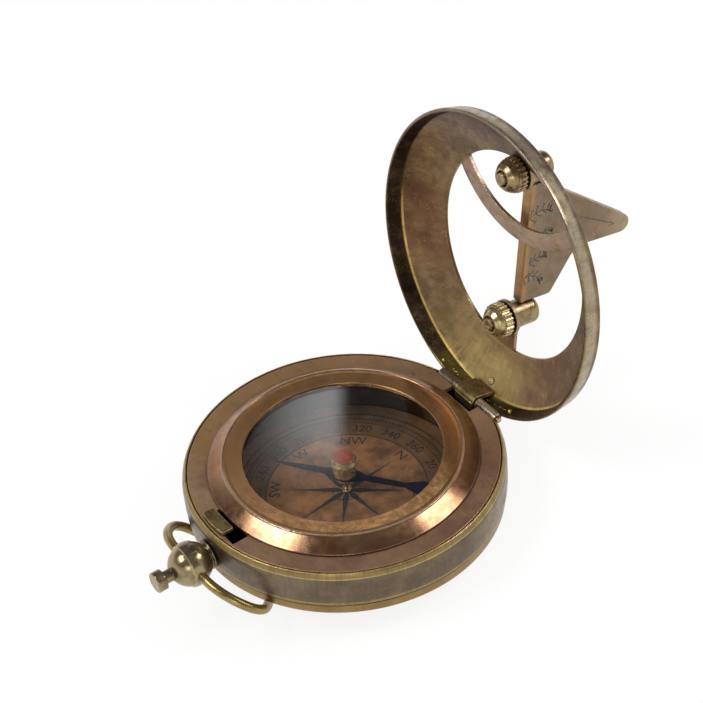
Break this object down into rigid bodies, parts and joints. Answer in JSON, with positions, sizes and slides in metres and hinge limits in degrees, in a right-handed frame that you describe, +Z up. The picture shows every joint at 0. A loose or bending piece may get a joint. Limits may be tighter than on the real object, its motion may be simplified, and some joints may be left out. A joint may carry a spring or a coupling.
{
  "type": "magnetic compass",
  "caption": "Pocket sundial compass in a round brass case, with a push-button hunter lid that carries a folding gnomon over its open window.",
  "frame": {"origin": "centre of the case's flat base", "axes": "+Z up out of the glass, -Y out along the pendant and its button, +Y towards the lid hinge, +X to the right seen with the pendant nearest"},
  "size_m": [0.05, 0.0909, 0.061],
  "materials": {
    "case_brass": "satin antique brass, worn to gold on its lip",
    "deck_copper": "copper-brown patina with fine pale scratches",
    "dial_card": "copper-tan printed dial with plain numbers and letters",
    "bezel_copper": "polished copper-gold",
    "glass": "clear flat glass",
    "blued_steel": "blued steel",
    "bright_brass": "bright turned brass",
    "red_enamel": "brick-red lacquer",
    "spring_steel": "oiled spring steel",
    "bow_brass": "drawn brass wire, golden olive",
    "lid_brass": "brown-bronze patina with golden edges",
    "gnomon_brass": "pale brass, tumbled"
  },
  "bodies": {
    "case": {"back_cover": "case_brass", "case_band": "case_brass", "deck_plate": "deck_copper", "compass_bowl": "case_brass", "dial_plate": "dial_card", "pivot_pin": "bright_brass", "bezel": "bezel_copper", "crystal": "glass", "crystal_ring": "bezel_copper", "lift_spring": "spring_steel", "spring_screws": "bright_brass", "pendant": "case_brass", "hinge_tube_left": "case_brass", "hinge_tube_right": "case_brass", "hinge_pin": "bright_brass"},
    "needle": {"needle_blade": "blued_steel", "needle_hub": "bright_brass", "hub_cap": "red_enamel"},
    "catch": {"catch_lever": "case_brass"},
    "button": {"push_stem": "case_brass"},
    "bow": {"bow": "bow_brass"},
    "lid": {"lid_shell": "lid_brass", "lid_knuckle": "lid_brass", "lid_rivet": "bright_brass", "gnomon_post_upper": "gnomon_brass", "gnomon_post_lower": "gnomon_brass"},
    "gnomon": {"gnomon": "gnomon_brass"},
    "nut_upper": {"thumb_nut_upper": "bright_brass"},
    "nut_lower": {"thumb_nut_lower": "bright_brass"}
  },
  "joints": [
    {"name": "lid_hinge", "type": "hinge", "parent": "case", "child": "lid", "pos_m": [0, 0.0238, 0.00833], "axis": [1, 0, 0], "range_deg": [0, 97.8], "stiffness_Nm_per_rad": 0.001, "springref_deg": -28.65},
    {"name": "gnomon_fold", "type": "hinge", "parent": "lid", "child": "gnomon", "pos_m": [0, 0.03624, 0.03065], "axis": [0, -0.1357, -0.9907], "range_deg": [-90, 90]},
    {"name": "nut_upper_turn", "type": "hinge", "parent": "lid", "child": "nut_upper", "pos_m": [0, 0.03399, 0.04589], "axis": [0, 0.9907, -0.1357], "range_deg": [0, 180]},
    {"name": "nut_lower_turn", "type": "hinge", "parent": "lid", "child": "nut_lower", "pos_m": [0, 0.03041, 0.01974], "axis": [0, 0.9907, -0.1357], "range_deg": [0, 180]},
    {"name": "button_press", "type": "slide", "parent": "case", "child": "button", "axis": [0, 1, 0], "range_m": [0, 0.0006], "stiffness_N_per_m": 600, "springref_m": -0.001},
    {"name": "catch_flex", "type": "hinge", "parent": "case", "child": "catch", "pos_m": [-0.02147, -0.00782, 0.0045], "axis": [0, 0, 1], "range_deg": [0, 1.7]},
    {"name": "bow_swing", "type": "hinge", "parent": "case", "child": "bow", "pos_m": [0, -0.0284, 0.0042], "axis": [-1, 0, 0], "range_deg": [0, 235]},
    {"name": "needle_spin", "type": "hinge", "parent": "case", "child": "needle", "pos_m": [0, 0, 0.0079], "axis": [0, 0, 1], "continuous": true}
  ],
  "couplings": [
    {"joint": "catch_flex", "follows": "button_press", "rad_per_m": 46.57}
  ]
}
